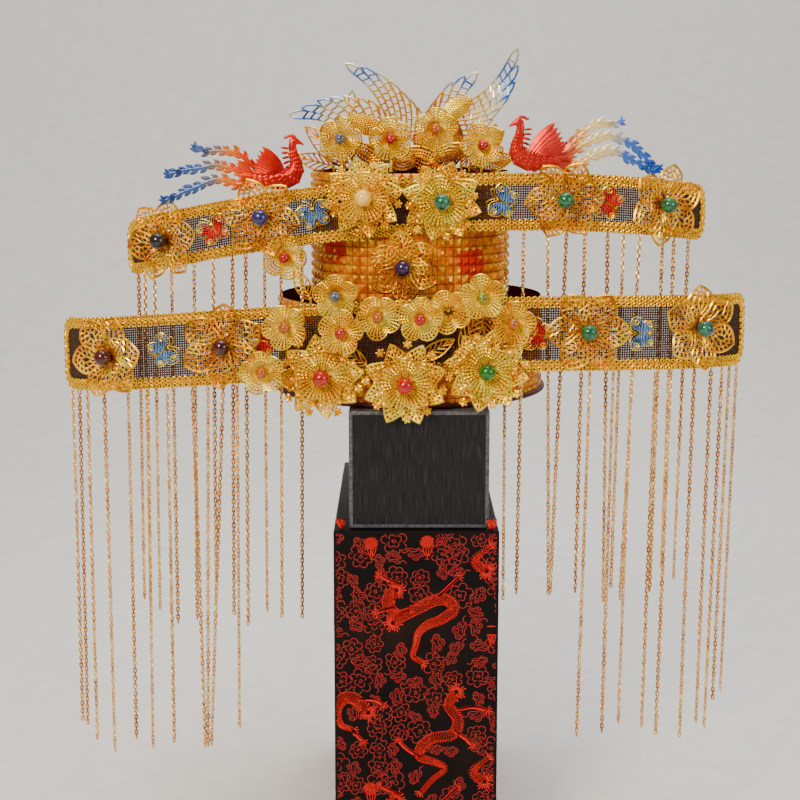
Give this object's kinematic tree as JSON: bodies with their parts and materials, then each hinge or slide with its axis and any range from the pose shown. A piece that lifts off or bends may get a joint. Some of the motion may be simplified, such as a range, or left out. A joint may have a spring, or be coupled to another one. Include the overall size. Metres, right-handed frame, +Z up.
{
  "type": "phoenix crown on its display stand",
  "caption": "Stepped phoenix crown with two flowered net bands, chain fringes, enamelled phoenixes and feather wings, on a block and column display stand.",
  "frame": {"origin": "middle of the column's foot, on the surface it stands on", "axes": "+Z up, +X to the viewer's right when the crown is seen from the front, -Y the way the wearer faces"},
  "size_m": [0.5194, 0.251, 0.6095],
  "materials": {
    "rim_binding": "dark red-brown corded binding",
    "brocade": "black silk brocade with red cloud scrolls, sprigs and gold thread",
    "grained_board": "black stained open grain, semi-gloss, rubbed pale at its edges",
    "gilt_cap": "gilt woven skin pressed into small pyramid studs",
    "gilt_filigree": "pale gilt stamped filigree and wire, bright",
    "wing_gilt": "gilt open-cell wire, tinted blue towards the tips",
    "braid": "looped braid of pale gold metal thread",
    "net": "fine dark silk net",
    "chain": "rose to pale gilt cable chain",
    "enamel_red": "translucent red-orange enamel over gilt wire",
    "enamel_pink": "pink to cream enamel over gilt wire",
    "enamel_blue": "blue enamel over gilt wire",
    "bead_cream": "polished cream glass bead",
    "bead_teal": "polished teal glass bead",
    "bead_green": "polished green glass bead",
    "bead_red": "polished red glass bead",
    "bead_orange": "polished orange glass bead",
    "bead_brown": "polished brown glass bead",
    "bead_dark": "polished near-black glass bead",
    "bead_violet": "polished violet glass bead",
    "bead_blue": "polished blue-violet glass bead",
    "bead_grey": "polished grey glass bead"
  },
  "bodies": {
    "root": {"display_column": "brocade", "display_block": "grained_board", "cap_base": "gilt_cap", "cap_drum": "gilt_cap", "cap_rim": "rim_binding", "upper_band": "net", "lower_band": "net", "upper_braid": "braid", "lower_braid": "braid", "chains_upper_left": "chain", "chains_upper_right": "chain", "chains_lower_left": "chain", "chains_lower_right": "chain", "flower_upper_left_outer": "gilt_filigree", "flower_upper_left_inner": "gilt_filigree", "flower_upper_right_inner": "gilt_filigree", "flower_upper_right_outer": "gilt_filigree", "flower_lower_left_outer": "gilt_filigree", "flower_lower_left_inner": "gilt_filigree", "flower_lower_right_inner": "gilt_filigree", "flower_lower_right_outer": "gilt_filigree", "rosette_upper_left": "gilt_filigree", "rosette_upper_right": "gilt_filigree", "rosette_lower_left": "gilt_filigree", "rosette_lower_middle": "gilt_filigree", "rosette_lower_right": "gilt_filigree", "flower_drum_middle": "gilt_filigree", "blossoms_front_left": "gilt_filigree", "blossoms_front_right": "gilt_filigree", "blossoms_top_left": "gilt_filigree", "blossoms_top_right": "gilt_filigree", "left_leaves": "gilt_filigree", "right_leaves": "gilt_filigree", "bead_flower_upper_left_outer": "bead_dark", "bead_flower_upper_left_inner": "bead_blue", "bead_flower_upper_right_inner": "bead_green", "bead_flower_upper_right_outer": "bead_green", "bead_flower_lower_left_outer": "bead_brown", "bead_flower_lower_left_inner": "bead_brown", "bead_flower_lower_right_inner": "bead_green", "bead_flower_lower_right_outer": "bead_teal", "bead_rosette_upper_left": "bead_cream", "bead_rosette_upper_right": "bead_teal", "bead_rosette_lower_left": "bead_red", "bead_rosette_lower_middle": "bead_red", "bead_rosette_lower_right": "bead_green", "bead_drum_middle": "bead_violet", "blossom_beads_red": "bead_red", "blossom_beads_orange": "bead_orange", "blossom_beads_green": "bead_green", "blossom_beads_grey": "bead_grey", "blue_butterflies": "enamel_blue", "red_butterflies": "enamel_red", "left_phoenix": "enamel_red", "right_phoenix": "enamel_pink", "wing_low_left": "wing_gilt", "wing_high_left": "wing_gilt", "wing_small_right": "wing_gilt", "wing_large_right": "wing_gilt"}
  },
  "joints": []
}
